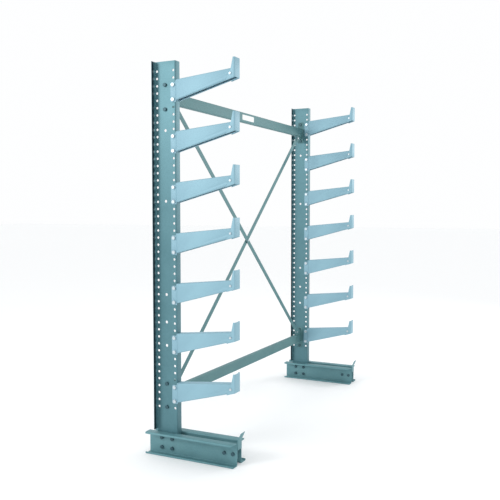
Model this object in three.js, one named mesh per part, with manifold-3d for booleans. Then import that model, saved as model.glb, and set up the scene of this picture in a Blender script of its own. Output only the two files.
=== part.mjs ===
// One-sided cantilever rack: two perforated columns on twin-channel feet, seven tapered arms on each
// column with a bolted stop shoe at every tip, and two beams with an X brace between the columns.
// Units are millimetres. X runs along the rack, the arms point to -Y, Z is up and the floor is Z = 0.

import * as THREE from "three";
import { mergeVertices } from "three/addons/utils/BufferGeometryUtils.js";
import Module from "manifold-3d";

const wasm = await Module();
wasm.setup();

// ---------------------------------------------------------------- driving dimensions

const BAY = 2500;                 // from one column's web to the other's
const WEB_X = { left: -1280, right: -1280 + BAY };   // the -X face of each column's web
const FIT = 0.3;                  // gap kept between pieces that touch
const OVERSHOOT = 1;              // how far a cutting tool runs past the face it opens

const COLUMN_TOP = 2750;
const COLUMN_BOTTOM = 6;
const COLUMN_FRONT = 138;
const COLUMN_DEPTH = 165;
const COLUMN_WALL = 3;
const FRONT_FLANGE = 60;          // points to +X
const FRONT_LIP = 20;
const REAR_FLANGE = 46;           // points to -X
const REAR_FLANGE_BOTTOM = 175;   // cut away below this height, where the foot passes

const PITCH = 50;
const FIRST_HOLE = 335;
const HOLE_COUNT = 48;
const HOLE_EDGE = 16.5;           // from a hole row to the nearer face of the column
const ROW_HOLE = 17;
const FREE_HOLE = 20;
const FREE_HOLE_HEIGHTS = [776, 942, 1136, 1789, 2277];

const LEVELS = 7;
const TOP_LEVEL_HOLE = 45;        // index of the hole that takes the top arm's upper bolt
const HOLES_PER_LEVEL = 7;
const ARM_BOLTS_APART = 2 * PITCH;

const ARM_X = { near: -14, far: 58 };   // the arm's body stands out beyond the column's web
const ARM_WALL = 4;
const ARM_LIP = 12;               // turned in along the open underside
const ARM_ROOT_TOP = 32;          // heights on the arm are from its upper bolt
const ARM_ROOT_BOTTOM = -108;
const ARM_TIP_TOP = 75.3;
const ARM_TIP_BOTTOM = 15.3;
const ARM_TIP_Y = -319.5;
const JOGGLE_FRONT = 123;         // the near side steps outward between these two
const JOGGLE_REAR = 133;
const FORK_REAR = 176;
const FORK_TOP = 17;
const FORK_BOTTOM = -118;
const FORK_CORNER = 14;

const STOP_FRONT = -328;
const STOP_WALL = 3;
const STOP_PLATE = 4;
const STOP_SIDE_GAP = 0.6;
const STOP_TOP = 143;
const STOP_FRONT_BOTTOM = 15;
const STOP_SIDE_REAR = [[-314, STOP_TOP], [-299, 74], [-262, -5.2]];   // the rear edge of its sides
const STOP_BOLT_Y = -294;
const STOP_BOLT_HEIGHT = 38;

const FOOT_HEIGHT = 157;
const FOOT_FLANGE = 65;
const FOOT_LIP = 14;
const FOOT_WALL = 4;
const FOOT_FRONT = -335.5;
const FOOT_REAR = 364.5;
const FOOT_CORNER = 26;
const FOOT_BOLTS = [[178, 45], [178, 112], [263, 45], [263, 112]];
const FOOT_STOP_BOLTS_Y = [-305.5, -239.5];
const FOOT_STOP_BOLT_Z = 79;

const FOOT_STOP_FRONT = -339.5;
const FOOT_STOP_LIP_Y = -364.5;
const FOOT_STOP_TOP = 224;
const FOOT_STOP_BEND = 170;
const FOOT_STOP_BOTTOM = 108;
const FOOT_STOP_LEG_REAR = -205;
const FOOT_STOP_LEG_Z = [48, 140];

const BEAM_HEIGHTS = { top: 2505, bottom: 420 };
const BEAM_TALL = 80;
const BEAM_DEEP = 40;
const BEAM_WALL = 2.5;
const BRACKET_WALL = 4;
const BRACKET_WIDE = 56;
const BRACKET_TALL = 208;
const BRACKET_BOLTS_APART = 167;
const INWARD = { left: 1, right: -1 };
const TOWARD_BRACE = { top: -1, bottom: 1 };
const TAB_THICK = 4;
const TAB_FORWARD = 12.5;         // how far the tab's middle lies in front of the beam's
const TAB_TALL = 56;
const TAB_NECK = { far: 28, tall: 24 };   // the tab is this low next to the bracket's own bolt
const BRACE_ENDS = {              // a brace bolt's distance from the web and from the beam's mid-line
  top: { out: 120, beyond: 65.5, tabLong: 140, shoulder: 60 },
  bottom: { out: 120, beyond: 73.5, tabLong: 140, shoulder: 55 },
};
const BRACE_WIDE = 40;
const BRACE_THICK = 4;
const LABEL = { x: -24, wide: 220, tall: 44, thick: 0.8 };

const BOLT = { shank: 14, head: 24, headTall: 11, nutTall: 12, tail: 4 };
const SMALL_BOLT = { shank: 8, head: 15, headTall: 6, nutTall: 7, tail: 2 };
const BOLT_SLACK = 1.6;           // a bolt hole is this much wider than its bolt
const ROUND_SIDES = 6;
const HEX = 6;

const MID_Y = COLUMN_FRONT + COLUMN_DEPTH / 2;
const COLUMN_REAR = COLUMN_FRONT + COLUMN_DEPTH;
const FRONT_ROW_Y = COLUMN_FRONT + HOLE_EDGE;
const REAR_ROW_Y = COLUMN_REAR - HOLE_EDGE;
const ARM_REAR = COLUMN_FRONT - FIT;
const TAB_Y = MID_Y - TAB_FORWARD - TAB_THICK / 2;
const MID_BAY = (WEB_X.left + WEB_X.right) / 2;
const BRACE_Y = { front: TAB_Y - FIT - BRACE_THICK, rear: TAB_Y + TAB_THICK + FIT };

// ---------------------------------------------------------------- materials

function finish(color, roughness, metalness) {
  return new THREE.MeshStandardMaterial({ color, roughness, metalness });
}

const columnSteel = () => finish(0x7d979b, 0.5, 0.8);
const armPaint = () => finish(0xa9c4cf, 0.45, 0.4);
const footSteel = () => finish(0x6c878b, 0.55, 0.8);
const beamSteel = () => finish(0x7a9393, 0.5, 0.8);
const zinc = () => finish(0xb8c2c8, 0.35, 0.9);
const labelPlastic = () => finish(0xf2f3f2, 0.6, 0);

// ---------------------------------------------------------------- solids

function toSolid(geometry) {
  const bare = geometry.clone();
  bare.deleteAttribute("normal");
  bare.deleteAttribute("uv");
  const merged = mergeVertices(bare, 1e-4);
  return new wasm.Manifold(new wasm.Mesh({
    numProp: 3,
    vertProperties: new Float32Array(merged.attributes.position.array),
    triVerts: new Uint32Array(merged.index.array),
  }));
}

function toGeometry(solid) {
  const mesh = solid.getMesh();
  const geometry = new THREE.BufferGeometry();
  geometry.setAttribute("position", new THREE.BufferAttribute(new Float32Array(mesh.vertProperties), 3));
  geometry.setIndex(new THREE.BufferAttribute(new Uint32Array(mesh.triVerts), 1));
  geometry.computeVertexNormals();
  return geometry;
}

function join(solids) {
  return solids.reduce((whole, next) => whole.add(next));
}

function cut(solid, tools) {
  return tools.reduce((left, tool) => left.subtract(tool), solid);
}

function box(x0, x1, y0, y1, z0, z1) {
  const geometry = new THREE.BoxGeometry(x1 - x0, y1 - y0, z1 - z0);
  return toSolid(geometry.translate((x0 + x1) / 2, (y0 + y1) / 2, (z0 + z1) / 2));
}

function outline(points) {
  return new THREE.Shape(points.map(([a, b]) => new THREE.Vector2(a, b)));
}

function extruded(shape, depth) {
  return new THREE.ExtrudeGeometry(shape, { depth, bevelEnabled: false, curveSegments: 3 });
}

// A shape drawn in (x, y), pushed up from z0 to z1.
function prismZ(shape, z0, z1) {
  const geometry = extruded(shape, z1 - z0);
  return toSolid(geometry.translate(0, 0, z0));
}

// A shape drawn in (y, z), pushed along X from x0 to x1.
function prismX(shape, x0, x1) {
  const geometry = extruded(shape, x1 - x0);
  const turn = new THREE.Matrix4().set(0, 0, 1, x0, 1, 0, 0, 0, 0, 1, 0, 0, 0, 0, 0, 1);
  return toSolid(geometry.applyMatrix4(turn));
}

// A shape drawn in (x, z), pushed along Y from y0 to y1.
function prismY(shape, y0, y1) {
  const geometry = extruded(shape, y1 - y0);
  return toSolid(geometry.rotateX(Math.PI / 2).translate(0, y1, 0));
}

function rodX(diameter, sides, x0, x1, y, z) {
  const geometry = new THREE.CylinderGeometry(diameter / 2, diameter / 2, x1 - x0, sides);
  return toSolid(geometry.rotateZ(Math.PI / 2).translate((x0 + x1) / 2, y, z));
}

function rodY(diameter, sides, y0, y1, x, z) {
  const geometry = new THREE.CylinderGeometry(diameter / 2, diameter / 2, y1 - y0, sides);
  return toSolid(geometry.translate(x, (y0 + y1) / 2, z));
}

const acrossCorners = (flats) => flats / Math.cos(Math.PI / HEX);

// A bolt along X whose head bears at x0 and whose nut bears at x1.
function boltX(bolt, x0, x1, y, z) {
  const corners = acrossCorners(bolt.head);
  return join([
    rodX(corners, HEX, x0 - bolt.headTall, x0, y, z),
    rodX(bolt.shank, ROUND_SIDES, x0 - OVERSHOOT, x1 + bolt.nutTall + bolt.tail, y, z),
    rodX(corners, HEX, x1, x1 + bolt.nutTall, y, z),
  ]);
}

// The same along Y.
function boltY(bolt, y0, y1, x, z) {
  const corners = acrossCorners(bolt.head);
  return join([
    rodY(corners, HEX, y0 - bolt.headTall, y0, x, z),
    rodY(bolt.shank, ROUND_SIDES, y0 - OVERSHOOT, y1 + bolt.nutTall + bolt.tail, x, z),
    rodY(corners, HEX, y1, y1 + bolt.nutTall, x, z),
  ]);
}

function holeX(bolt, x0, x1, y, z) {
  return rodX(bolt.shank + BOLT_SLACK, ROUND_SIDES, x0, x1, y, z);
}

// ---------------------------------------------------------------- column

// Cold-formed Z section: the front flange points to +X and ends in a lip, the rear one points to -X.
function columnSection() {
  const wall = COLUMN_WALL;
  return outline([
    [0, COLUMN_FRONT],
    [FRONT_FLANGE, COLUMN_FRONT],
    [FRONT_FLANGE, COLUMN_FRONT + FRONT_LIP],
    [FRONT_FLANGE - wall, COLUMN_FRONT + FRONT_LIP],
    [FRONT_FLANGE - wall, COLUMN_FRONT + wall],
    [wall, COLUMN_FRONT + wall],
    [wall, COLUMN_REAR],
    [-REAR_FLANGE, COLUMN_REAR],
    [-REAR_FLANGE, COLUMN_REAR - wall],
    [0, COLUMN_REAR - wall],
  ]);
}

function columnHoles() {
  const through = [-OVERSHOOT, COLUMN_WALL + OVERSHOOT];
  const holes = [];
  for (let index = 0; index < HOLE_COUNT; index += 1) {
    const z = FIRST_HOLE + index * PITCH;
    holes.push(rodX(ROW_HOLE, HEX, ...through, FRONT_ROW_Y, z));
    holes.push(rodX(ROW_HOLE, HEX, ...through, REAR_ROW_Y, z));
  }
  for (const z of FREE_HOLE_HEIGHTS) {
    holes.push(rodX(FREE_HOLE, HEX, ...through, MID_Y, z));
  }
  for (const beamZ of Object.values(BEAM_HEIGHTS)) {
    for (const side of [-1, 1]) {
      holes.push(holeX(BOLT, ...through, MID_Y, beamZ + side * BRACKET_BOLTS_APART / 2));
    }
  }
  for (const [y, z] of FOOT_BOLTS) {
    holes.push(holeX(BOLT, ...through, y, z));
  }
  return holes;
}

function makeColumn() {
  const profile = prismZ(columnSection(), COLUMN_BOTTOM, COLUMN_TOP);
  const notch = box(-REAR_FLANGE - OVERSHOOT, 0, COLUMN_REAR - COLUMN_WALL - OVERSHOOT,
    COLUMN_REAR + OVERSHOOT, 0, REAR_FLANGE_BOTTOM);
  return cut(profile, [notch, ...columnHoles()]);
}

// ---------------------------------------------------------------- feet

// A lipped channel along Y with its web at x = 0 and its flanges pointing to +X.
// The outer front corner of the top flange is rounded off.
function footChannel() {
  const wall = FOOT_WALL;
  const sectionXZ = outline([
    [0, 0],
    [FOOT_FLANGE, 0],
    [FOOT_FLANGE, FOOT_LIP],
    [FOOT_FLANGE - wall, FOOT_LIP],
    [FOOT_FLANGE - wall, wall],
    [wall, wall],
    [wall, FOOT_HEIGHT - wall],
    [FOOT_FLANGE - wall, FOOT_HEIGHT - wall],
    [FOOT_FLANGE - wall, FOOT_HEIGHT - FOOT_LIP],
    [FOOT_FLANGE, FOOT_HEIGHT - FOOT_LIP],
    [FOOT_FLANGE, FOOT_HEIGHT],
    [0, FOOT_HEIGHT],
  ]);
  const channel = prismY(sectionXZ, FOOT_FRONT, FOOT_REAR);
  const corner = new THREE.Shape();
  corner.moveTo(FOOT_FLANGE - FOOT_CORNER, FOOT_FRONT);
  corner.quadraticCurveTo(FOOT_FLANGE, FOOT_FRONT, FOOT_FLANGE, FOOT_FRONT + FOOT_CORNER);
  corner.lineTo(FOOT_FLANGE + OVERSHOOT, FOOT_FRONT + FOOT_CORNER);
  corner.lineTo(FOOT_FLANGE + OVERSHOOT, FOOT_FRONT - OVERSHOOT);
  corner.lineTo(FOOT_FLANGE - FOOT_CORNER, FOOT_FRONT - OVERSHOOT);
  return channel.subtract(prismZ(corner, FOOT_HEIGHT - FOOT_LIP - OVERSHOOT, FOOT_HEIGHT + OVERSHOOT));
}

function footStopHoles(x0, x1) {
  return FOOT_STOP_BOLTS_Y.map((y) => holeX(BOLT, x0, x1, y, FOOT_STOP_BOLT_Z));
}

// The outer channel carries the four bolts that clamp the column between the two channels.
function makeOuterFoot() {
  const channel = footChannel().mirror([1, 0, 0]).translate([-FIT, 0, 0]);
  const nutBears = FRONT_FLANGE + FIT + FOOT_WALL + FIT;
  const bolts = FOOT_BOLTS.map(([y, z]) => boltX(BOLT, -FIT - FOOT_WALL, nutBears, y, z));
  return join([cut(channel, footStopHoles(-FIT - FOOT_WALL - OVERSHOOT, OVERSHOOT)), ...bolts]);
}

function makeInnerFoot() {
  const x0 = FRONT_FLANGE + FIT;
  const channel = footChannel().translate([x0, 0, 0]);
  const through = [x0 - OVERSHOOT, x0 + FOOT_WALL + OVERSHOOT];
  const holes = FOOT_BOLTS.map(([y, z]) => holeX(BOLT, ...through, y, z));
  return cut(channel, [...holes, ...footStopHoles(...through)]);
}

// A bracket bent from one plate: two legs between the channels, a front, and a lip that leans forward.
// Its two bolts go through both channels.
function makeFootStop() {
  const x0 = 0;
  const x1 = FRONT_FLANGE;
  const legs = [[x0, x0 + STOP_PLATE], [x1 - STOP_PLATE, x1]].map(([a, b]) => (
    box(a, b, FOOT_STOP_FRONT, FOOT_STOP_LEG_REAR, ...FOOT_STOP_LEG_Z)
  ));
  const front = prismX(outline([
    [FOOT_STOP_FRONT, FOOT_STOP_BOTTOM],
    [FOOT_STOP_FRONT + STOP_PLATE, FOOT_STOP_BOTTOM],
    [FOOT_STOP_FRONT + STOP_PLATE, FOOT_STOP_BEND],
    [FOOT_STOP_LIP_Y + STOP_PLATE, FOOT_STOP_TOP],
    [FOOT_STOP_LIP_Y, FOOT_STOP_TOP],
    [FOOT_STOP_FRONT, FOOT_STOP_BEND],
  ]), x0, x1);
  const headBears = -FIT - FOOT_WALL - FIT;
  const nutBears = FRONT_FLANGE + FIT + FOOT_WALL + FIT;
  const bolts = FOOT_STOP_BOLTS_Y.map((y) => boltX(BOLT, headBears, nutBears, y, FOOT_STOP_BOLT_Z));
  return join([front, ...legs, ...bolts]);
}

// ---------------------------------------------------------------- arms

function along(rootValue, tipValue) {
  return (y) => rootValue + (tipValue - rootValue) * (ARM_REAR - y) / (ARM_REAR - ARM_TIP_Y);
}

const armTopAt = along(ARM_ROOT_TOP, ARM_TIP_TOP);
const armBottomAt = along(ARM_ROOT_BOTTOM, ARM_TIP_BOTTOM);

// The arm's side view, moved in from its top and bottom edges.
function armSide(inTop, inBottom, rear, front) {
  const x = [ARM_X.near - OVERSHOOT, ARM_X.far + OVERSHOOT];
  return prismX(outline([
    [rear, armBottomAt(rear) + inBottom],
    [rear, armTopAt(rear) - inTop],
    [front, armTopAt(front) - inTop],
    [front, armBottomAt(front) + inBottom],
  ]), ...x);
}

// The arm's plan view, moved in from its two sides, with the outward step near the column.
function armPlan(inset, rear, front) {
  const near = ARM_X.near + inset;
  const nearRear = -FIT - ARM_WALL + inset;
  const far = ARM_X.far - inset;
  return prismZ(outline([
    [near, front],
    [far, front],
    [far, rear],
    [nearRear, rear],
    [nearRear, JOGGLE_REAR],
    [near, JOGGLE_FRONT],
  ]), 2 * FORK_BOTTOM, 2 * STOP_TOP);
}

// The plate that runs back along the outer side of the column's web.
function forkPlate() {
  const x0 = -FIT - ARM_WALL;
  const shape = new THREE.Shape();
  shape.moveTo(JOGGLE_REAR, FORK_BOTTOM);
  shape.lineTo(FORK_REAR - FORK_CORNER, FORK_BOTTOM);
  shape.quadraticCurveTo(FORK_REAR, FORK_BOTTOM, FORK_REAR, FORK_BOTTOM + FORK_CORNER);
  shape.lineTo(FORK_REAR, FORK_TOP - FORK_CORNER);
  shape.quadraticCurveTo(FORK_REAR, FORK_TOP, FORK_REAR - FORK_CORNER, FORK_TOP);
  shape.lineTo(JOGGLE_REAR, FORK_TOP);
  return prismX(shape, x0, x0 + ARM_WALL);
}

function stopBoltHole([x0, x1]) {
  return holeX(SMALL_BOLT, x0 - OVERSHOOT, x1 + OVERSHOOT, STOP_BOLT_Y, STOP_BOLT_HEIGHT);
}

// A tapered channel open below, with turned-in edges, a closed root, and two bolts in its fork plate.
function makeArm() {
  const wall = ARM_WALL;
  const pastTip = ARM_TIP_Y - OVERSHOOT;
  const body = armPlan(0, ARM_REAR, ARM_TIP_Y).intersect(armSide(0, 0, ARM_REAR, ARM_TIP_Y));
  const inside = armPlan(wall, ARM_REAR - wall, pastTip)
    .intersect(armSide(wall, wall, ARM_REAR - wall, pastTip));
  const mouth = armPlan(wall + ARM_LIP, ARM_REAR - wall - ARM_LIP, pastTip)
    .intersect(armSide(2 * wall, -wall, ARM_REAR - wall - ARM_LIP, pastTip));
  const bolts = [0, -ARM_BOLTS_APART].map((z) => (
    boltX(BOLT, -FIT - wall, COLUMN_WALL + FIT, FRONT_ROW_Y, z)
  ));
  const channel = cut(body, [inside, mouth, stopBoltHole([ARM_X.near, ARM_X.far])]);
  return join([channel, forkPlate(), ...bolts]);
}

// ---------------------------------------------------------------- end stops of the arms

const STOP_INNER_X = [ARM_X.near - STOP_SIDE_GAP, ARM_X.far + STOP_SIDE_GAP];
const STOP_OUTER_X = [STOP_INNER_X[0] - STOP_WALL, STOP_INNER_X[1] + STOP_WALL];

// A shoe bent from one plate: a front that stands above the arm, and two sides that clasp the arm's tip.
function makeEndStop() {
  const side = outline([[STOP_FRONT, STOP_FRONT_BOTTOM], [STOP_FRONT, STOP_TOP], ...STOP_SIDE_REAR]);
  const rearmost = STOP_SIDE_REAR[STOP_SIDE_REAR.length - 1];
  const space = box(...STOP_INNER_X, STOP_FRONT + STOP_PLATE, rearmost[0] + OVERSHOOT,
    rearmost[1] - OVERSHOOT, STOP_TOP + OVERSHOOT);
  return cut(prismX(side, ...STOP_OUTER_X), [space, stopBoltHole(STOP_OUTER_X)]);
}

function makeStopBolt() {
  return boltX(SMALL_BOLT, STOP_OUTER_X[0] - FIT, STOP_OUTER_X[1] + FIT, STOP_BOLT_Y, STOP_BOLT_HEIGHT);
}

// ---------------------------------------------------------------- beams, brackets and braces

function makeBeam(z) {
  const x0 = WEB_X.left + COLUMN_WALL + FIT + BRACKET_WALL + FIT;
  const x1 = WEB_X.right - FIT - BRACKET_WALL - FIT;
  const y0 = MID_Y - BEAM_DEEP / 2;
  const y1 = MID_Y + BEAM_DEEP / 2;
  const z0 = z - BEAM_TALL / 2;
  const z1 = z + BEAM_TALL / 2;
  const hollow = box(x0 - OVERSHOOT, x1 + OVERSHOOT, y0 + BEAM_WALL, y1 - BEAM_WALL,
    z0 + BEAM_WALL, z1 - BEAM_WALL);
  return box(x0, x1, y0, y1, z0, z1).subtract(hollow);
}

// A plate on the column's web, with a tab that lies next to the beam and takes the end of one brace.
// The tab's outline is given as distance from the web and distance from the beam's mid-line.
function makeBracket(side, name) {
  const isLeft = side === "left";
  const plateX = isLeft ? COLUMN_WALL + FIT : -FIT - BRACKET_WALL;
  const boltZ = BRACKET_BOLTS_APART / 2;
  const plate = box(plateX, plateX + BRACKET_WALL, MID_Y - BRACKET_WIDE / 2, MID_Y + BRACKET_WIDE / 2,
    -BRACKET_TALL / 2, BRACKET_TALL / 2);
  const end = BRACE_ENDS[name];
  const root = INWARD[side] * (plateX + BRACKET_WALL / 2);
  const start = BEAM_TALL / 2 + FIT;
  const corners = [
    [root, start],
    [end.tabLong, start],
    [end.tabLong, start + TAB_TALL],
    [end.shoulder, start + TAB_TALL],
    [TAB_NECK.far, start + TAB_NECK.tall],
    [root, start + TAB_NECK.tall],
  ];
  const placed = corners.map(([out, beyond]) => [INWARD[side] * out, TOWARD_BRACE[name] * beyond]);
  const tab = prismY(outline(placed), TAB_Y, TAB_Y + TAB_THICK);
  const bears = isLeft ? [-FIT, plateX + BRACKET_WALL] : [plateX, COLUMN_WALL + FIT];
  const bolts = [-boltZ, boltZ].map((z) => boltX(BOLT, ...bears, MID_Y, z));
  const braceBolt = boltY(SMALL_BOLT, BRACE_Y.front - FIT, BRACE_Y.rear + BRACE_THICK + FIT,
    INWARD[side] * end.out, TOWARD_BRACE[name] * end.beyond);
  return join([plate, tab, braceBolt, ...bolts]);
}

function braceEnd(side, name) {
  const { out, beyond } = BRACE_ENDS[name];
  return { x: WEB_X[side] + INWARD[side] * out, z: BEAM_HEIGHTS[name] + TOWARD_BRACE[name] * beyond };
}

// The line of one brace, which starts at the left column next to the named beam and crosses the bay.
function braceLine(startName) {
  const start = braceEnd("left", startName);
  const end = braceEnd("right", startName === "top" ? "bottom" : "top");
  const run = { x: end.x - start.x, z: end.z - start.z };
  return { start, run, long: Math.hypot(run.x, run.z), crossing: (MID_BAY - start.x) / run.x };
}

// A flat bar with round ends and three holes: one at each end and one where the two bars cross.
function makeBrace(startName, y0) {
  const { start, run, long, crossing } = braceLine(startName);
  const y1 = y0 + BRACE_THICK;
  const bar = new THREE.Shape();
  bar.absarc(0, 0, BRACE_WIDE / 2, Math.PI / 2, 1.5 * Math.PI, false);
  bar.absarc(long, 0, BRACE_WIDE / 2, -Math.PI / 2, Math.PI / 2, false);
  const holes = [0, crossing * long, long].map((x) => (
    rodY(SMALL_BOLT.shank + BOLT_SLACK, ROUND_SIDES, y0 - OVERSHOOT, y1 + OVERSHOOT, x, 0)
  ));
  const slope = THREE.MathUtils.radToDeg(Math.atan2(run.z, run.x));
  return cut(prismY(bar, y0, y1), holes).rotate([0, -slope, 0]).translate([start.x, 0, start.z]);
}

function makeBraceBolt() {
  const { start, run, crossing } = braceLine("top");
  return boltY(SMALL_BOLT, BRACE_Y.front - FIT, BRACE_Y.rear + BRACE_THICK + FIT,
    MID_BAY, start.z + crossing * run.z);
}

function makeLabel() {
  const front = MID_Y - BEAM_DEEP / 2 - FIT;
  return box(LABEL.x - LABEL.wide / 2, LABEL.x + LABEL.wide / 2, front - LABEL.thick, front,
    BEAM_HEIGHTS.top - LABEL.tall / 2, BEAM_HEIGHTS.top + LABEL.tall / 2);
}

// ---------------------------------------------------------------- assembly

const rack = new THREE.Group();

function place(name, solid, material, offset = [0, 0, 0]) {
  const mesh = new THREE.Mesh(toGeometry(solid.translate(offset)), material);
  mesh.name = name;
  rack.add(mesh);
}

const column = makeColumn();
const outerFoot = makeOuterFoot();
const innerFoot = makeInnerFoot();
const footStop = makeFootStop();
const arm = makeArm();
const endStop = makeEndStop();
const stopBolt = makeStopBolt();

for (const [side, x] of Object.entries(WEB_X)) {
  place(`column_${side}`, column, columnSteel(), [x, 0, 0]);
  place(`foot_outer_${side}`, outerFoot, footSteel(), [x, 0, 0]);
  place(`foot_inner_${side}`, innerFoot, footSteel(), [x, 0, 0]);
  place(`foot_stop_${side}`, footStop, footSteel(), [x, 0, 0]);
  for (let level = 1; level <= LEVELS; level += 1) {
    const z = FIRST_HOLE + (TOP_LEVEL_HOLE - (LEVELS - level) * HOLES_PER_LEVEL) * PITCH;
    place(`arm_${side}_${level}`, arm, armPaint(), [x, 0, z]);
    place(`arm_stop_${side}_${level}`, endStop, armPaint(), [x, 0, z]);
    place(`stop_bolt_${side}_${level}`, stopBolt, zinc(), [x, 0, z]);
  }
  place(`bracket_top_${side}`, makeBracket(side, "top"), beamSteel(), [x, 0, BEAM_HEIGHTS.top]);
  place(`bracket_bottom_${side}`, makeBracket(side, "bottom"), beamSteel(), [x, 0, BEAM_HEIGHTS.bottom]);
}

for (const [name, z] of Object.entries(BEAM_HEIGHTS)) {
  place(`beam_${name}`, makeBeam(z), beamSteel());
}

place("brace_front", makeBrace("top", BRACE_Y.front), beamSteel());
place("brace_rear", makeBrace("bottom", BRACE_Y.rear), beamSteel());
place("brace_bolt", makeBraceBolt(), zinc());
place("label", makeLabel(), labelPlastic());

export default rack;
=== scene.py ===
"""Cantilever rack: the visible sheet-metal pieces, bolts, finishes, floor, light and camera."""

import math

import bmesh
import bpy
from mathutils import Matrix, Vector


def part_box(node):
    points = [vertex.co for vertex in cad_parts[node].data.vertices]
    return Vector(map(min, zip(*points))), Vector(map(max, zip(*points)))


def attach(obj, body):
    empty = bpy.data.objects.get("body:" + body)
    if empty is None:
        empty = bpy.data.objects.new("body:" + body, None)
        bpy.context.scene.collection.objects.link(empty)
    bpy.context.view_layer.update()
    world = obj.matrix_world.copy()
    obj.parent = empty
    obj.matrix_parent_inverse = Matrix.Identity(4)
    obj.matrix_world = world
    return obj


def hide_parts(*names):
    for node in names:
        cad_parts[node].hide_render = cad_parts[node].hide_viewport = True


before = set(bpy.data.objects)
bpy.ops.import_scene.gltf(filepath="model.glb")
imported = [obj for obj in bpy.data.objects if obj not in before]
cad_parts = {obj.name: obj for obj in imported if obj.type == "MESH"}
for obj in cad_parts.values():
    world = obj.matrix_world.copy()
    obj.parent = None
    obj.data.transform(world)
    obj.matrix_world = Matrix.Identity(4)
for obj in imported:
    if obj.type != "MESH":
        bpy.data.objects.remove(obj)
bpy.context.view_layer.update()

# Sizes are in millimetres here and turned into metres when a mesh is made. Across a column, x is
# measured from the -X face of its web. On an arm, z is measured from its upper bolt.
MM = 0.001
ROUND = 24

GAP = 0.3                  # kept between pieces that touch
BEYOND = 5                 # how far a cutting tool runs past the face it opens

COLUMN_FRONT, COLUMN_REAR = 138.0, 303.0
COLUMN_BOTTOM, COLUMN_TOP = 6.0, 2750.0
COLUMN_WALL = 3.0
FRONT_FLANGE, FRONT_LIP, REAR_FLANGE = 60.0, 20.0, 46.0
REAR_FLANGE_BOTTOM = 175.0
MID_Y = (COLUMN_FRONT + COLUMN_REAR) / 2
FRONT_ROW, REAR_ROW = COLUMN_FRONT + 16.5, COLUMN_REAR - 16.5
FIRST_HOLE, PITCH, HOLE_COUNT = 335.0, 50.0, 48
ROW_HOLE, FREE_HOLE = 17.0, 20.0
FREE_HOLE_HEIGHTS = (776, 942, 1136, 1789, 2277)

FOOT_WALL, FOOT_WIDE, FOOT_TALL, FOOT_LIP = 4.0, 65.0, 157.0, 14.0
FOOT_FRONT, FOOT_REAR = -335.5, 364.5
FOOT_CORNER = 26.0         # the radius of the top flange's outer front corner
FOOT_BOLTS = ((178, 45), (178, 112), (263, 45), (263, 112))
FOOT_STOP_BOLTS = ((-305.5, 79), (-239.5, 79))
FOOT_STOP_FOLD = ((-337.5, 108), (-337.5, 170), (-362.5, 224))
FOOT_STOP_LEG = (-337.5, -205, 48, 140)   # its range in y and in z
FOOT_STOP_WIDE, FOOT_STOP_WALL = 60.0, 4.0

LEVELS = range(1, 8)
ARM_REAR, ARM_TIP = 137.7, -319.5
ARM_WALL, ARM_LIP = 4.0, 12.0
ARM_NEAR, ARM_FORK_NEAR, ARM_FAR = -14.0, -4.3, 58.0
ARM_ROOT_HEIGHTS, ARM_TIP_HEIGHTS = (-108.0, 32.0), (15.3, 75.3)
STEP_REAR, STEP_FRONT = 133, 123          # the near side steps outward between these two
FORK_REAR, FORK_BOTTOM, FORK_TOP, FORK_CORNER = 176.0, -118.0, 17.0, 14
ARM_BOLTS_APART = 100

STOP_FRONT, STOP_REAR = -328.0, -255.0
STOP_BOTTOM, STOP_TOP = -12, 143
STOP_WALL, STOP_BEYOND_ARM = 3.3, 3.6
ACROSS_STOP = (-30, 80)    # a range in x that is wider than the stop
STOP_SIDE = ((-338, 143), (-314, 143), (-299, 74), (-262, -5.2), (-328, 15), (-338, 15))
STOP_BOLT = (-294.0, 38.0)
SMALL_HOLE = 9.6

BEAM_HEIGHTS = {"top": 2505.0, "bottom": 420.0}
BEAM_TALL, BEAM_DEEP, BEAM_WALL = 80.0, 40, 2.5
BRACKET_WIDE, BRACKET_TALL, BRACKET_WALL = 56, 208, 4
BRACKET_X = {"left": COLUMN_WALL + GAP, "right": -BRACKET_WALL - GAP}
BRACKET_BOLT = 83.5                       # from the beam's mid-line
BEAM_START = BRACKET_X["left"] + BRACKET_WALL + GAP   # from the left web
BEAM_END = BRACKET_X["right"] - GAP                   # from the right web

# A brace bolt's distance from the web and from the beam's mid-line, and the tab that carries it.
BRACE_ENDS = {
    "top": {"out": 120.0, "beyond": 65.5, "tab": 140.0, "shoulder": 60.0},
    "bottom": {"out": 120.0, "beyond": 73.5, "tab": 140.0, "shoulder": 55.0},
}
TAB_Y = MID_Y - 12.5
TAB_TALL, TAB_THICK = 56.0, 4
TAB_NECK = (28.0, 24.0)                   # the tab is this low next to the bracket's own bolt
TAB_CORNER = 10
BRACE_WIDE, BRACE_THICK = 40.0, 4
BRACE_GRIP = TAB_THICK / 2 + BRACE_THICK + 2 * GAP    # half of what a brace bolt clamps
INWARD = {"left": 1, "right": -1}
TOWARD_BRACE = {"top": -1, "bottom": 1}

BOLT = {"flats": 24, "head": 11, "washer": 26, "shank": 14, "nut": 12, "tail": 4}
SMALL_BOLT = {"flats": 15, "head": 6, "washer": 18, "shank": 8, "nut": 7, "tail": 2}
WASHER_THICK = 2.5

# The radius of a sheet's middle at its bends.
BEND = {"column": 4.5, "foot": 5.0, "foot_stop": 10.0, "arm": 5.0, "stop": 5.5}


# ---------------------------------------------------------------- meshes

def mesh_from(vertices, faces):
    mesh = bpy.data.meshes.new("shape")
    mesh.from_pydata([Vector(v) * MM for v in vertices], [], faces)
    bm = bmesh.new()
    bm.from_mesh(mesh)
    bmesh.ops.recalc_face_normals(bm, faces=bm.faces)
    bm.to_mesh(mesh)
    bm.free()
    return mesh


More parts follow.
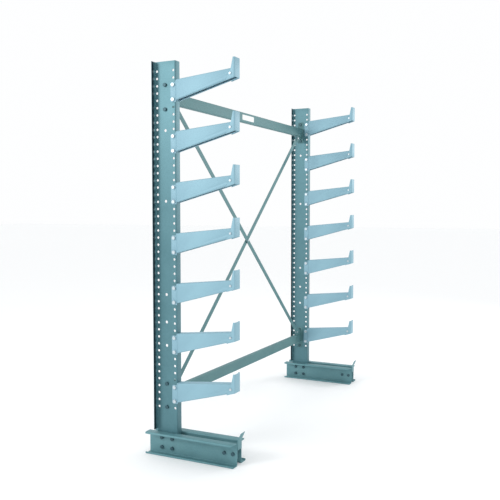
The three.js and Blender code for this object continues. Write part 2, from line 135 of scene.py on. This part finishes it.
def loft(rings):
    """A closed body through rings with the same number of points."""
    count = len(rings[0])
    vertices = [p for ring in rings for p in ring]
    faces = [tuple(range(count)), tuple(range(len(vertices) - count, len(vertices)))]
    for r in range(len(rings) - 1):
        a = r * count
        for i in range(count):
            j = (i + 1) % count
            faces.append((a + i, a + j, a + count + j, a + count + i))
    return mesh_from(vertices, faces)


def prism(axis, outline, start, end):
    """An outline pushed along an axis. It is given in (y, z) for X, (x, z) for Y and (x, y) for Z."""
    place = {
        "X": lambda p, t: (t, p[0], p[1]),
        "Y": lambda p, t: (p[0], t, p[1]),
        "Z": lambda p, t: (p[0], p[1], t),
    }[axis]
    return loft([[place(p, t) for p in outline] for t in (start, end)])


def rectangle(a0, a1, b0, b1):
    return [(a0, b0), (a1, b0), (a1, b1), (a0, b1)]


def disc(centre, diameter, sides=ROUND):
    turn = 2 * math.pi / sides
    return [
        (centre[0] + diameter / 2 * math.cos(turn * i), centre[1] + diameter / 2 * math.sin(turn * i))
        for i in range(sides)
    ]


def fillet(points, radius, closed=False, steps=5):
    """The same line with its corners rounded."""
    count = len(points)
    out = []
    for i, p in enumerate(points):
        if not closed and i in (0, count - 1):
            out.append(Vector(p))
            continue
        corner = Vector(p)
        before = (Vector(points[i - 1]) - corner).normalized()
        after = (Vector(points[(i + 1) % count]) - corner).normalized()
        angle = before.angle(after)
        reach = radius / math.tan(angle / 2)
        centre = corner + (before + after).normalized() * (radius / math.sin(angle / 2))
        first, last = corner + before * reach - centre, corner + after * reach - centre
        sweep = first.angle_signed(last)
        for k in range(steps + 1):
            out.append(centre + Matrix.Rotation(-sweep * k / steps, 2) @ first)
    return out


def sheet(points, thickness, radius):
    """The outline of a folded sheet whose middle runs along the points."""
    line = fillet(points, radius)
    left, right = [], []
    for i, p in enumerate(line):
        ahead = (line[min(i + 1, len(line) - 1)] - p)
        behind = (p - line[max(i - 1, 0)])
        direction = (ahead.normalized() + behind.normalized()).normalized()
        normal = Vector((-direction.y, direction.x))
        left.append(p + normal * thickness / 2)
        right.append(p - normal * thickness / 2)
    return left + right[::-1]


def merged(meshes):
    """Several bodies in one mesh."""
    bm = bmesh.new()
    for mesh in meshes:
        bm.from_mesh(mesh)
    out = bpy.data.meshes.new("shape")
    bm.to_mesh(out)
    bm.free()
    return out


def evaluated(obj):
    graph = bpy.context.evaluated_depsgraph_get()
    mesh = bpy.data.meshes.new_from_object(obj.evaluated_get(graph))
    bpy.data.objects.remove(obj)
    return mesh


def combine(base, operation, tool):
    """base joined with, cut by or kept inside tool: UNION, DIFFERENCE or INTERSECT."""
    body = bpy.data.objects.new("base", base)
    other = bpy.data.objects.new("tool", tool)
    for obj in (body, other):
        bpy.context.scene.collection.objects.link(obj)
    modifier = body.modifiers.new("boolean", "BOOLEAN")
    modifier.operation = operation
    modifier.object = other
    modifier.solver = "EXACT"
    mesh = evaluated(body)
    bpy.data.objects.remove(other)
    return mesh


def softened(mesh, width, segments=2, angle=35):
    """Small rounded edges, and smooth shading between faces that nearly agree."""
    obj = bpy.data.objects.new("edges", mesh)
    bpy.context.scene.collection.objects.link(obj)
    modifier = obj.modifiers.new("bevel", "BEVEL")
    modifier.width = width * MM
    modifier.segments = segments
    modifier.limit_method = "ANGLE"
    modifier.angle_limit = math.radians(angle)
    mesh = evaluated(obj)
    mesh.shade_smooth()
    mesh.set_sharp_from_angle(angle=math.radians(angle))
    return mesh


def put(name, mesh, material, body="root", at=(0, 0, 0), node=None):
    """A visible piece in its place. It rides on a body, and stands for a CAD node if one is named."""
    obj = bpy.data.objects.new(name, mesh)
    bpy.context.scene.collection.objects.link(obj)
    obj.location = Vector(at) * MM
    if not mesh.materials:
        mesh.materials.append(material)
    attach(obj, body)
    if node:
        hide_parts(node)
    return obj


# ---------------------------------------------------------------- finishes

def steel(name, tint, shade, roughness, metallic, spangle=70.0, grain=0.15):
    """Sheet steel: two close tints in soft patches and fine crystals, uneven gloss and a faint ripple."""
    material = bpy.data.materials.new(name)
    material.use_nodes = True
    nodes, links = material.node_tree.nodes, material.node_tree.links
    shader = nodes["Principled BSDF"]
    shader.inputs["Metallic"].default_value = metallic
    place = nodes.new("ShaderNodeTexCoord")
    patches = nodes.new("ShaderNodeTexNoise")
    patches.inputs["Scale"].default_value = 6.0
    patches.inputs["Detail"].default_value = 5.0
    crystals = nodes.new("ShaderNodeTexVoronoi")
    crystals.inputs["Scale"].default_value = spangle
    fine = nodes.new("ShaderNodeTexNoise")
    fine.inputs["Scale"].default_value = 260.0
    fine.inputs["Detail"].default_value = 3.0
    for texture in (patches, crystals, fine):
        links.new(place.outputs["Object"], texture.inputs["Vector"])
    blend = nodes.new("ShaderNodeMix")
    blend.data_type = "FLOAT"
    blend.inputs[0].default_value = grain
    links.new(patches.outputs["Fac"], blend.inputs[2])
    links.new(crystals.outputs["Distance"], blend.inputs[3])
    ramp = nodes.new("ShaderNodeValToRGB")
    ramp.color_ramp.elements[0].position = 0.3
    ramp.color_ramp.elements[0].color = (*shade, 1)
    ramp.color_ramp.elements[1].position = 0.7
    ramp.color_ramp.elements[1].color = (*tint, 1)
    links.new(blend.outputs[0], ramp.inputs["Fac"])
    links.new(ramp.outputs["Color"], shader.inputs["Base Color"])
    gloss = nodes.new("ShaderNodeMapRange")
    gloss.inputs["To Min"].default_value = roughness - 0.08
    gloss.inputs["To Max"].default_value = roughness + 0.1
    links.new(patches.outputs["Fac"], gloss.inputs["Value"])
    links.new(gloss.outputs["Result"], shader.inputs["Roughness"])
    bump = nodes.new("ShaderNodeBump")
    bump.inputs["Strength"].default_value = 0.08
    bump.inputs["Distance"].default_value = 0.0006
    links.new(fine.outputs["Fac"], bump.inputs["Height"])
    links.new(bump.outputs["Normal"], shader.inputs["Normal"])
    return material


def painted_shade_band(material, beyond_x, before_y, colour):
    """Painted shade: a near-black colour on the part of a column that lies beyond an x and before a y, both
    in metres.
    """
    nodes, links = material.node_tree.nodes, material.node_tree.links
    shader = nodes["Principled BSDF"]
    place, split = nodes.new("ShaderNodeTexCoord"), nodes.new("ShaderNodeSeparateXYZ")
    links.new(place.outputs["Object"], split.inputs["Vector"])
    tests = []
    for axis, limit in (("X", beyond_x), ("Y", before_y)):
        test = nodes.new("ShaderNodeMath")
        test.operation = "LESS_THAN"
        links.new(split.outputs[axis], test.inputs[0])
        test.inputs[1].default_value = limit
        tests.append(test)
    both = nodes.new("ShaderNodeMath")
    both.operation = "MULTIPLY"
    for k, test in enumerate(tests):
        links.new(test.outputs[0], both.inputs[k])
    mix = nodes.new("ShaderNodeMix")
    mix.data_type = "RGBA"
    colour_link = shader.inputs["Base Color"].links[0]
    links.new(colour_link.from_socket, mix.inputs["A"])
    mix.inputs["B"].default_value = (*colour, 1)
    links.new(both.outputs[0], mix.inputs["Factor"])
    links.new(mix.outputs["Result"], shader.inputs["Base Color"])
    return material


COLUMN_STEEL = steel("column_steel", (0.096, 0.225, 0.26), (0.072, 0.185, 0.215), 0.42, 0.35)
# Painted shade: the outer part of the rear flange's front face is coloured near black, where it lies in
# shadow.
COLUMN_STEEL = painted_shade_band(COLUMN_STEEL, -0.022, 0.3012, (0.008, 0.03, 0.042))
ARM_PAINT = steel("arm_paint", (0.255, 0.45, 0.535), (0.22, 0.395, 0.48), 0.5, 0.1, grain=0.08)
FOOT_STEEL = steel("foot_steel", (0.14, 0.30, 0.33), (0.10, 0.24, 0.27), 0.5, 0.3)
BEAM_STEEL = steel("beam_steel", (0.095, 0.225, 0.235), (0.07, 0.18, 0.195), 0.55, 0.15)
ZINC = steel("zinc", (0.62, 0.70, 0.74), (0.45, 0.52, 0.56), 0.35, 0.6, spangle=300.0)
# Painted shade: the foot and bracket bolts get this darker finish in place of the shadows around their heads;
# the arm and brace bolts stay zinc.
PAINTED_SHADE_BOLT = steel("painted_shade_bolt", (0.05, 0.12, 0.145), (0.03, 0.08, 0.10), 0.45, 0.4, spangle=300.0)
LABEL = steel("label", (0.86, 0.88, 0.87), (0.80, 0.83, 0.82), 0.55, 0.0)


# ---------------------------------------------------------------- shapes

def bolt_mesh(bolt, head_x, nut_x):
    """A hexagon bolt along X with washers: its head bears at head_x and its nut at nut_x."""
    def ring(x, size, hexagonal=False):
        points = []
        for i in range(ROUND):
            angle = 2 * math.pi * i / ROUND
            folded = (angle + math.pi / 6) % (math.pi / 3) - math.pi / 6
            radius = size / math.cos(folded) if hexagonal else size
            points.append((x, radius * math.cos(angle), radius * math.sin(angle)))
        return points
    flat, washer, shank = bolt["flats"] / 2, bolt["washer"] / 2, bolt["shank"] / 2
    chamfered, underside, bevel = flat * 0.9, flat * 0.92, 1.2
    head_low, head_top = head_x - WASHER_THICK, head_x - bolt["head"]
    nut_low, nut_top = nut_x + WASHER_THICK, nut_x + bolt["nut"]
    tip = nut_top + bolt["tail"]
    mesh = loft([
        ring(head_top, chamfered),
        ring(head_top + bevel, flat, True),
        ring(head_low - 0.5, flat, True),
        ring(head_low, underside),
        ring(head_low, washer),
        ring(head_x, washer),
        ring(head_x, shank),
        ring(nut_x, shank),
        ring(nut_x, washer),
        ring(nut_low, washer),
        ring(nut_low, underside),
        ring(nut_low + 1, flat, True),
        ring(nut_top - bevel, flat, True),
        ring(nut_top, chamfered),
        ring(nut_top, shank),
        ring(tip - 1, shank),
        ring(tip, shank - bevel),
    ])
    mesh.shade_smooth()
    mesh.set_sharp_from_angle(angle=math.radians(25))
    return mesh


def column_mesh():
    wall = COLUMN_WALL
    section = sheet([
        (-REAR_FLANGE, COLUMN_REAR - wall / 2), (wall / 2, COLUMN_REAR - wall / 2),
        (wall / 2, COLUMN_FRONT + wall / 2), (FRONT_FLANGE - wall / 2, COLUMN_FRONT + wall / 2),
        (FRONT_FLANGE - wall / 2, COLUMN_FRONT + FRONT_LIP),
    ], wall, BEND["column"])
    mesh = prism("Z", section, COLUMN_BOTTOM, COLUMN_TOP)
    flange = rectangle(-REAR_FLANGE - BEYOND, -0.1, COLUMN_REAR - 12, COLUMN_REAR + BEYOND)
    mesh = combine(mesh, "DIFFERENCE", prism("Z", flange, -BEYOND, REAR_FLANGE_BOTTOM))
    places = [(y, FIRST_HOLE + k * PITCH, ROW_HOLE) for k in range(HOLE_COUNT) for y in (FRONT_ROW, REAR_ROW)]
    places += [(MID_Y, z, FREE_HOLE) for z in FREE_HOLE_HEIGHTS]
    holes = [prism("X", disc((y, z), size), -BEYOND, 3 * wall) for y, z, size in places]
    mesh = combine(mesh, "DIFFERENCE", merged(holes))
    return softened(mesh, 0.5, 1)


def foot_channel(direction):
    inner, outer = FOOT_WALL / 2, FOOT_WIDE - FOOT_WALL / 2
    section = sheet([
        (outer, FOOT_LIP), (outer, inner), (inner, inner),
        (inner, FOOT_TALL - inner), (outer, FOOT_TALL - inner), (outer, FOOT_TALL - FOOT_LIP),
    ], FOOT_WALL, BEND["foot"])
    return prism("Y", [(direction * x, z) for x, z in section], FOOT_FRONT, FOOT_REAR)


def round_corner(direction):
    """What is cut from the top flange's outer front corner."""
    side, front = FOOT_WIDE - FOOT_CORNER, FOOT_FRONT + FOOT_CORNER
    outline = []
    for k in range(9):
        turn = math.pi / 2 * k / 8
        outline.append((side + FOOT_CORNER * math.sin(turn), front - FOOT_CORNER * math.cos(turn)))
    outline += [(FOOT_WIDE + BEYOND, front), (FOOT_WIDE + BEYOND, FOOT_FRONT - BEYOND),
                (side, FOOT_FRONT - BEYOND)]
    return prism("Z", [(direction * x, y) for x, y in outline], FOOT_TALL - 15, FOOT_TALL + 3)


def foot_mesh(direction):
    mesh = combine(foot_channel(direction), "DIFFERENCE", round_corner(direction))
    return softened(mesh, 0.7)


def foot_stop_mesh():
    mesh = prism("X", sheet(FOOT_STOP_FOLD, FOOT_STOP_WALL, BEND["foot_stop"]), 0, FOOT_STOP_WIDE)
    leg = fillet(rectangle(*FOOT_STOP_LEG), 8, closed=True)
    for x in (0.0, FOOT_STOP_WIDE - FOOT_STOP_WALL):
        mesh = combine(mesh, "UNION", prism("X", leg, x, x + FOOT_STOP_WALL))
    return softened(mesh, 0.7)


def arm_heights(y):
    """The arm's bottom and top edge at y."""
    t = (ARM_REAR - y) / (ARM_REAR - ARM_TIP)
    return [root + (tip - root) * t for root, tip in zip(ARM_ROOT_HEIGHTS, ARM_TIP_HEIGHTS)]


def arm_section(y, near):
    half, far = ARM_WALL / 2, ARM_FAR
    bottom, top = arm_heights(y)
    bottom, top = bottom + half, top - half
    line = sheet([
        (near + ARM_WALL + ARM_LIP, bottom), (near + half, bottom), (near + half, top),
        (far - half, top), (far - half, bottom), (far - ARM_WALL - ARM_LIP, bottom),
    ], ARM_WALL, BEND["arm"])
    return [(x, y, z) for x, z in line]


def arm_mesh():
    """A tapered channel, open below, which steps inward to the plate that lies on the column's web."""
    stations = (
        (ARM_REAR, ARM_FORK_NEAR), (STEP_REAR + 1.5, ARM_FORK_NEAR), (STEP_REAR - 2, ARM_FORK_NEAR - 1.4),
        (STEP_FRONT + 1.5, ARM_NEAR + 1.4), (STEP_FRONT - 2, ARM_NEAR), (ARM_TIP, ARM_NEAR),
    )
    mesh = loft([arm_section(y, near) for y, near in stations])
    bottom, top = ARM_ROOT_HEIGHTS
    root = rectangle(ARM_FORK_NEAR + 1, ARM_FAR - 1, bottom + 1, top - 1)
    mesh = combine(mesh, "UNION", prism("Y", root, ARM_REAR - 4, ARM_REAR - 0.05))
    fork = fillet([(STEP_REAR, FORK_BOTTOM), (FORK_REAR, FORK_BOTTOM), (FORK_REAR, FORK_TOP),
                   (STEP_REAR, FORK_TOP)], FORK_CORNER)
    mesh = combine(mesh, "UNION", prism("X", fork, ARM_FORK_NEAR, ARM_FORK_NEAR + ARM_WALL))
    mesh = combine(mesh, "DIFFERENCE", stop_bolt_hole())
    return softened(mesh, 0.6)


def stop_bolt_hole():
    return prism("X", disc(STOP_BOLT, SMALL_HOLE), *ACROSS_STOP)


def stop_mesh():
    middle = STOP_WALL / 2
    near, far = ARM_NEAR - STOP_BEYOND_ARM + middle, ARM_FAR + STOP_BEYOND_ARM - middle
    front = STOP_FRONT + middle
    plan = sheet([(near, STOP_REAR), (near, front), (far, front), (far, STOP_REAR)], STOP_WALL, BEND["stop"])
    mesh = prism("Z", plan, STOP_BOTTOM, STOP_TOP)
    side = prism("X", fillet(STOP_SIDE, 2.5, closed=True), *ACROSS_STOP)
    mesh = combine(mesh, "INTERSECT", side)
    mesh = combine(mesh, "DIFFERENCE", stop_bolt_hole())
    return softened(mesh, 0.6)


def beam_mesh(length):
    deep, tall = BEAM_DEEP / 2, BEAM_TALL / 2
    outer = fillet(rectangle(-deep, deep, -tall, tall), 5, closed=True)
    deep, tall = deep - BEAM_WALL, tall - BEAM_WALL
    inner = fillet(rectangle(-deep, deep, -tall, tall), 2.6, closed=True)
    hollow = prism("X", inner, -BEYOND, length + BEYOND)
    return softened(combine(prism("X", outer, 0, length), "DIFFERENCE", hollow), 0.4, 1)


def bracket_mesh(side, name):
    """A plate on the column's web, and the tab next to the beam that takes the brace."""
    wide, tall, plate_x = BRACKET_WIDE / 2, BRACKET_TALL / 2, BRACKET_X[side]
    outline = fillet(rectangle(MID_Y - wide, MID_Y + wide, -tall, tall), 6, closed=True)
    plate = prism("X", outline, plate_x, plate_x + BRACKET_WALL)
    end, root = BRACE_ENDS[name], INWARD[side] * (plate_x + BRACKET_WALL / 2)
    low = BEAM_TALL / 2 + GAP
    high, neck, neck_high = low + TAB_TALL, TAB_NECK[0], low + TAB_NECK[1]
    corners = [
        (root, low), (end["tab"] - 4, low), (end["tab"], low + 4), (end["tab"], high - TAB_CORNER),
        (end["tab"] - 3, high - 3), (end["tab"] - TAB_CORNER, high), (end["shoulder"], high),
        (neck, neck_high), (root, neck_high),
    ]
    placed = [(INWARD[side] * x, TOWARD_BRACE[name] * z) for x, z in corners]
    tab = prism("Y", placed, TAB_Y - TAB_THICK / 2, TAB_Y + TAB_THICK / 2)
    return softened(combine(plate, "UNION", tab), 0.5)


def brace_mesh(long, middle):
    """A flat bar with round ends, from its first bolt at x = 0 to its last one."""
    half, steps = BRACE_WIDE / 2, 16
    ends = [(long, -math.pi / 2), (0, math.pi / 2)]
    outline = [
        (x + half * math.cos(turn + math.pi * k / steps), half * math.sin(turn + math.pi * k / steps))
        for x, turn in ends for k in range(steps + 1)
    ]
    bar = prism("Y", outline, 0, BRACE_THICK)
    spots = (0, middle, long)
    holes = merged([prism("Y", disc((x, 0), SMALL_HOLE), -BEYOND, BRACE_THICK + BEYOND) for x in spots])
    return softened(combine(bar, "DIFFERENCE", holes), 0.5, 1)


# ---------------------------------------------------------------- the rack

WEB = {side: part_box(f"column_{side}")[0].x / MM + REAR_FLANGE for side in ("left", "right")}
column = column_mesh()
feet = {"outer": foot_mesh(-1), "inner": foot_mesh(1)}
foot_x = {"outer": -GAP, "inner": FOOT_STOP_WIDE + GAP}
foot_stop = foot_stop_mesh()
arm = arm_mesh()
stop = stop_mesh()
clamped_web = COLUMN_WALL + GAP
arm_bolt = bolt_mesh(BOLT, ARM_FORK_NEAR, clamped_web)
stop_bolt = bolt_mesh(SMALL_BOLT, ARM_NEAR - STOP_BEYOND_ARM - GAP, ARM_FAR + STOP_BEYOND_ARM + GAP)
foot_bolt = bolt_mesh(BOLT, foot_x["outer"] - FOOT_WALL, foot_x["inner"] + FOOT_WALL + GAP)
bracket_bolts = {
    "left": bolt_mesh(BOLT, -GAP, BRACKET_X["left"] + BRACKET_WALL),
    "right": bolt_mesh(BOLT, BRACKET_X["right"], clamped_web),
}
brace_bolt = bolt_mesh(SMALL_BOLT, -BRACE_GRIP, BRACE_GRIP)


def put_brace_bolt(name, x, z, node=None):
    obj = put(name, brace_bolt, ZINC, node=node)
    obj.matrix_world = Matrix.Translation(Vector((x, TAB_Y, z)) * MM) @ Matrix.Rotation(math.pi / 2, 4, "Z")
    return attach(obj, "root")


def brace_end(side, name):
    end = BRACE_ENDS[name]
    x = WEB[side] + INWARD[side] * end["out"]
    return Vector((x, BEAM_HEIGHTS[name] + TOWARD_BRACE[name] * end["beyond"]))


for side, x in WEB.items():
    put(f"column_sheet_{side}", column, COLUMN_STEEL, at=(x, 0, 0),
        node=f"column_{side}")
    for where, mesh in feet.items():
        put(f"foot_{where}_sheet_{side}", mesh, FOOT_STEEL, at=(x + foot_x[where], 0, 0),
            node=f"foot_{where}_{side}")
    put(f"foot_stop_sheet_{side}", foot_stop, FOOT_STEEL, at=(x, 0, 0),
        node=f"foot_stop_{side}")
    for i, (y, z) in enumerate(FOOT_BOLTS + FOOT_STOP_BOLTS):
        put(f"foot_bolt_{side}_{i + 1}", foot_bolt, PAINTED_SHADE_BOLT, at=(x, y, z))
    for level in LEVELS:
        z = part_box(f"arm_{side}_{level}")[0].z / MM - FORK_BOTTOM
        put(f"arm_sheet_{side}_{level}", arm, ARM_PAINT, at=(x, 0, z),
            node=f"arm_{side}_{level}")
        put(f"stop_sheet_{side}_{level}", stop, ARM_PAINT, at=(x, 0, z),
            node=f"arm_stop_{side}_{level}")
        put(f"stop_bolt_set_{side}_{level}", stop_bolt, ZINC, at=(x, STOP_BOLT[0], z + STOP_BOLT[1]),
            node=f"stop_bolt_{side}_{level}")
        for which, drop in (("upper", 0), ("lower", ARM_BOLTS_APART)):
            put(f"arm_bolt_{which}_{side}_{level}", arm_bolt, ZINC, at=(x, FRONT_ROW, z - drop))
    for name, beam_z in BEAM_HEIGHTS.items():
        put(f"bracket_{name}_sheet_{side}", bracket_mesh(side, name), BEAM_STEEL, at=(x, 0, beam_z),
            node=f"bracket_{name}_{side}")
        for which, dz in (("upper", BRACKET_BOLT), ("lower", -BRACKET_BOLT)):
            put(f"bracket_bolt_{name}_{which}_{side}", bracket_bolts[side], PAINTED_SHADE_BOLT,
                at=(x, MID_Y, beam_z + dz))
        put_brace_bolt(f"brace_bolt_{name}_{side}", *brace_end(side, name))

beam_start = WEB["left"] + BEAM_START
beam = beam_mesh(WEB["right"] + BEAM_END - beam_start)
for name, beam_z in BEAM_HEIGHTS.items():
    put(f"beam_{name}_tube", beam, BEAM_STEEL, at=(beam_start, MID_Y, beam_z),
        node=f"beam_{name}")

mid_bay = (WEB["left"] + WEB["right"]) / 2
brace_y = {"front": TAB_Y - TAB_THICK / 2 - GAP - BRACE_THICK, "rear": TAB_Y + TAB_THICK / 2 + GAP}
for name, first, last in (("front", "top", "bottom"), ("rear", "bottom", "top")):
    start, end = brace_end("left", first), brace_end("right", last)
    run = end - start
    crossing = (mid_bay - start.x) / run.x
    bar = brace_mesh(run.length, crossing * run.length)
    obj = put(f"brace_{name}_bar", bar, BEAM_STEEL, node=f"brace_{name}")
    turn = Matrix.Rotation(-math.atan2(run.y, run.x), 4, "Y")
    obj.matrix_world = Matrix.Translation(Vector((start.x, brace_y[name], start.y)) * MM) @ turn
    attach(obj, "root")
put_brace_bolt("brace_bolt_middle", mid_bay, start.y + crossing * run.y, "brace_bolt")

label_low, label_high = (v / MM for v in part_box("label"))
outline = fillet(rectangle(label_low.x, label_high.x, label_low.z, label_high.z), 6, closed=True)
label = softened(prism("Y", outline, label_low.y, label_high.y), 0.2, 1)
put("blank_label", label, LABEL, node="label")

# ---------------------------------------------------------------- floor, light and camera

def plain(name, colour, roughness):
    material = bpy.data.materials.new(name)
    material.use_nodes = True
    shader = material.node_tree.nodes["Principled BSDF"]
    shader.inputs["Base Color"].default_value = (*colour, 1)
    shader.inputs["Roughness"].default_value = roughness
    return material


floor_mesh = bpy.data.meshes.new("floor")
floor_mesh.from_pydata([(-60, -60, 0), (60, -60, 0), (60, 60, 0), (-60, 60, 0)], [], [(0, 1, 2, 3)])
floor = bpy.data.objects.new("floor", floor_mesh)
bpy.context.scene.collection.objects.link(floor)
floor_mesh.materials.append(plain("floor", (0.97, 0.98, 0.985), 0.8))


def area_light(name, place, target, size, power, colour=(1, 1, 1)):
    light = bpy.data.lights.new(name, "AREA")
    light.shape = "DISK"
    light.size = size
    light.energy = power
    light.color = colour
    obj = bpy.data.objects.new(name, light)
    bpy.context.scene.collection.objects.link(obj)
    obj.location = place
    obj.rotation_euler = (Vector(target) - Vector(place)).to_track_quat("-Z", "Y").to_euler()


area_light("key", (-6.0, 3.3, 3.6), (-0.4, 0, 1.5), 2.2, 125)
area_light("front", (5.5, -3.6, 3.1), (0.3, 0, 1.6), 2.4, 90)

bpy.context.scene.view_settings.view_transform = "Standard"
world = bpy.data.worlds.new("studio")
bpy.context.scene.world = world
world.use_nodes = True
world.node_tree.nodes["Background"].inputs["Color"].default_value = (0.99, 0.995, 1.0, 1)
world.node_tree.nodes["Background"].inputs["Strength"].default_value = 1.0

# The camera stands at the left of the rack, a little in front of it, at the height of the arms.
CAMERA_PLACE = (-5.3813, -2.4378, 1.7306)
CAMERA_HEADING, CAMERA_DIP = math.radians(63.930), math.radians(3.320)
camera_data = bpy.data.cameras.new("camera")
camera_data.sensor_width = 36.0
camera_data.lens = 50.07
camera_data.clip_end = 200.0
camera = bpy.data.objects.new("camera", camera_data)
bpy.context.scene.collection.objects.link(camera)
camera.location = CAMERA_PLACE
camera.rotation_euler = (math.pi / 2 - CAMERA_DIP, 0, -CAMERA_HEADING)
bpy.context.scene.camera = camera
